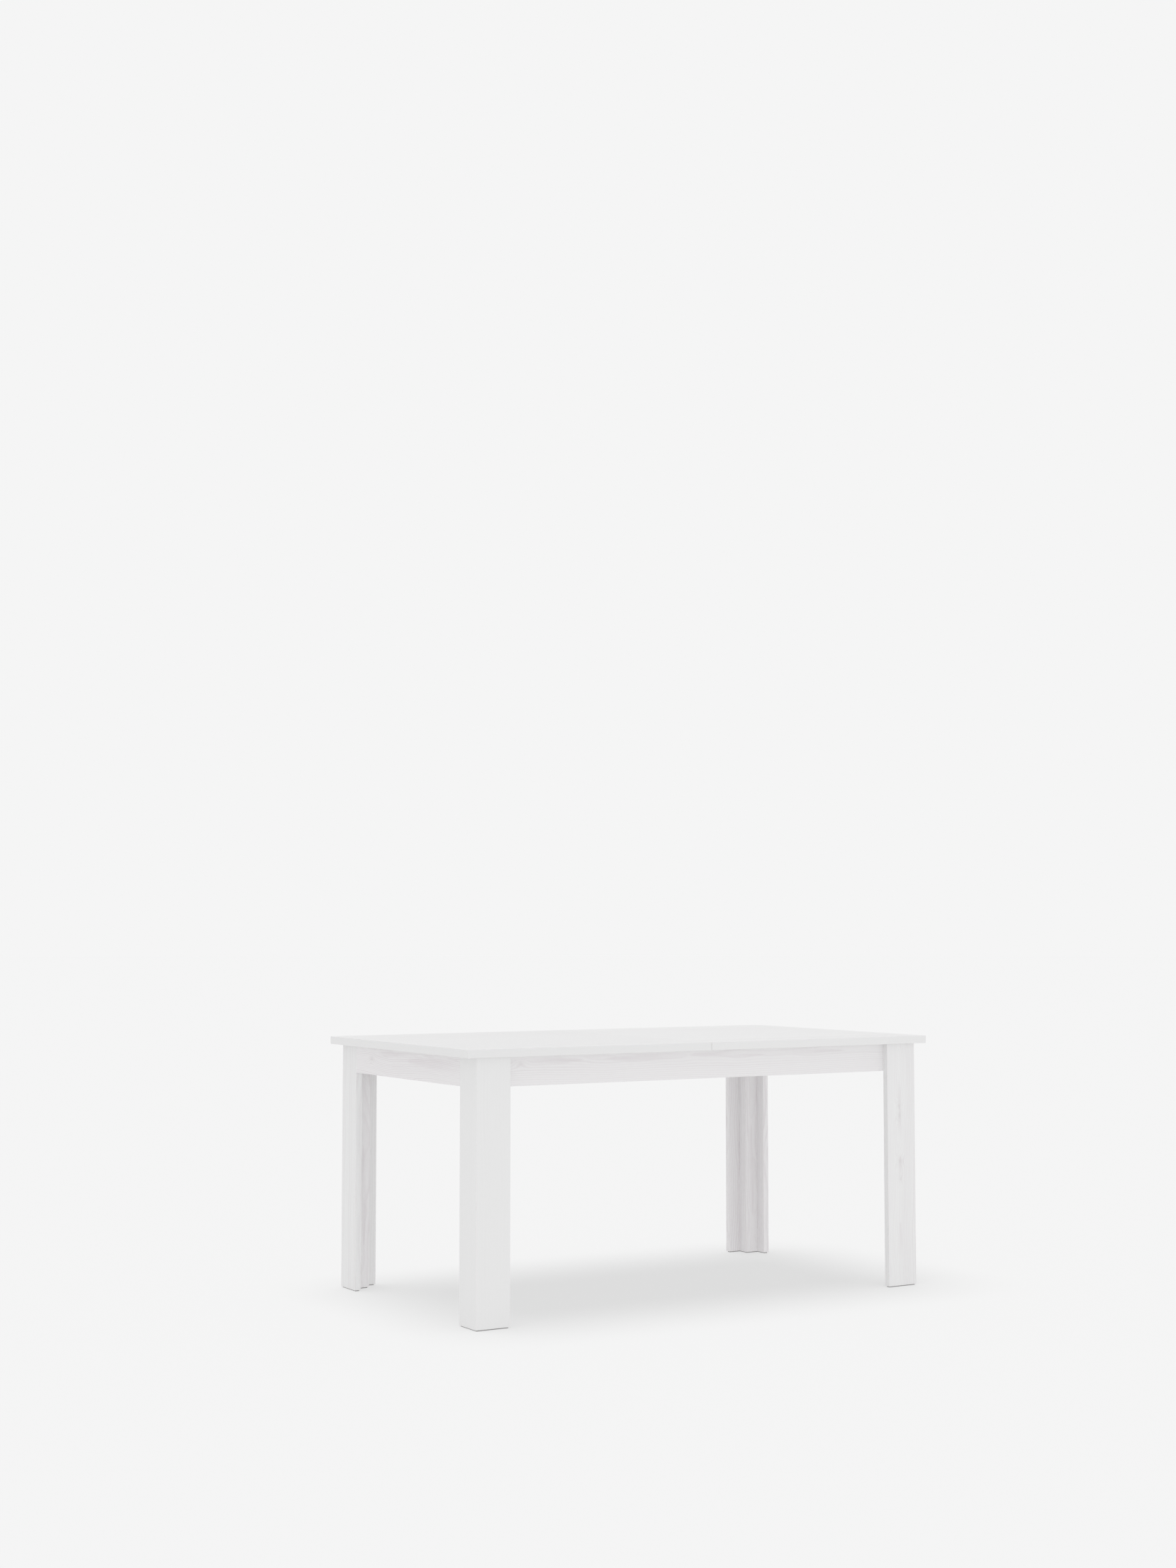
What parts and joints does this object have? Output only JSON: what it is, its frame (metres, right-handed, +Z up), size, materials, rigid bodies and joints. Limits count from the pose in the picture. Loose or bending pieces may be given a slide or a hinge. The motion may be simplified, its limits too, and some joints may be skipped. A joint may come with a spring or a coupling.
{
  "type": "extending dining table",
  "caption": "Rectangular dining table on L-shaped corner legs; its top is split across the middle and slides apart on steel runners for a loose leaf stored beneath.",
  "frame": {"origin": "on the floor under the middle of the closed table", "axes": "+X along the long side, +Y towards the back long side, +Z up"},
  "size_m": [1.6, 0.9, 0.76],
  "materials": {
    "top_pine": "white-washed pine, satin lacquer",
    "frame_pine": "white-washed pine, satin lacquer, visible grain and knots",
    "inner_pine": "white-washed pine, thin coat",
    "dowel_beech": "raw beech",
    "slide_steel": "cold-rolled steel, zinc plated",
    "bracket_steel": "zinc plated steel",
    "zinc_fasteners": "bright zinc plated",
    "slider_nylon": "natural nylon",
    "foot_felt": "dark pressed felt"
  },
  "bodies": {
    "frame": {"apron_screws": "zinc_fasteners", "back_apron": "frame_pine", "back_left_corner_brace": "bracket_steel", "back_left_leg_block": "inner_pine", "back_left_leg_face": "frame_pine", "back_left_leg_side": "frame_pine", "back_right_corner_brace": "bracket_steel", "back_right_leg_block": "inner_pine", "back_right_leg_face": "frame_pine", "back_right_leg_side": "frame_pine", "back_slide_rail": "slide_steel", "bearer_brackets": "bracket_steel", "bracket_screws": "zinc_fasteners", "foot_pads": "foot_felt", "front_apron": "frame_pine", "front_left_corner_brace": "bracket_steel", "front_left_leg_block": "inner_pine", "front_left_leg_face": "frame_pine", "front_left_leg_side": "frame_pine", "front_right_corner_brace": "bracket_steel", "front_right_leg_block": "inner_pine", "front_right_leg_face": "frame_pine", "front_right_leg_side": "frame_pine", "front_slide_rail": "slide_steel", "left_end_apron": "frame_pine", "left_end_rail": "inner_pine", "left_leaf_bearer": "inner_pine", "leg_bolts": "zinc_fasteners", "leg_nuts": "zinc_fasteners", "rail_screws": "zinc_fasteners", "rail_stops": "slider_nylon", "right_end_apron": "frame_pine", "right_end_rail": "inner_pine", "right_leaf_bearer": "inner_pine"},
    "left_top": {"left_top_panel": "top_pine", "left_back_runner": "slide_steel", "left_front_runner": "slide_steel", "left_sliders": "slider_nylon", "left_runner_screws": "zinc_fasteners", "left_inner_batten": "inner_pine", "left_outer_batten": "inner_pine", "left_batten_screws": "zinc_fasteners", "left_latch_screws": "zinc_fasteners", "seam_dowels": "dowel_beech", "latch_plates": "bracket_steel", "latch_pivots": "zinc_fasteners"},
    "right_top": {"right_top_panel": "top_pine", "right_back_runner": "slide_steel", "right_front_runner": "slide_steel", "right_sliders": "slider_nylon", "right_runner_screws": "zinc_fasteners", "right_inner_batten": "inner_pine", "right_outer_batten": "inner_pine", "right_batten_screws": "zinc_fasteners", "right_latch_screws": "zinc_fasteners", "latch_keepers": "bracket_steel"},
    "front_latch": {"front_latch_lever": "bracket_steel"},
    "back_latch": {"back_latch_lever": "bracket_steel"},
    "leaf": {"leaf_panel": "top_pine", "leaf_dowels": "dowel_beech"}
  },
  "joints": [
    {"name": "left_top_slide", "type": "slide", "parent": "frame", "child": "left_top", "axis": [-1, 0, 0], "range_m": [0, 0.2]},
    {"name": "right_top_slide", "type": "slide", "parent": "frame", "child": "right_top", "axis": [1, 0, 0], "range_m": [0, 0.2]},
    {"name": "front_latch_swing", "type": "hinge", "parent": "left_top", "child": "front_latch", "pos_m": [-0.022, -0.29, 0.733], "axis": [0, 0, 1], "range_deg": [0, 90]},
    {"name": "back_latch_swing", "type": "hinge", "parent": "left_top", "child": "back_latch", "pos_m": [-0.022, 0.29, 0.733], "axis": [0, 0, -1], "range_deg": [0, 90]},
    {"name": "leaf_lift", "type": "slide", "parent": "frame", "child": "leaf", "axis": [0, 0, 1], "range_m": [0, 0.01]}
  ]
}
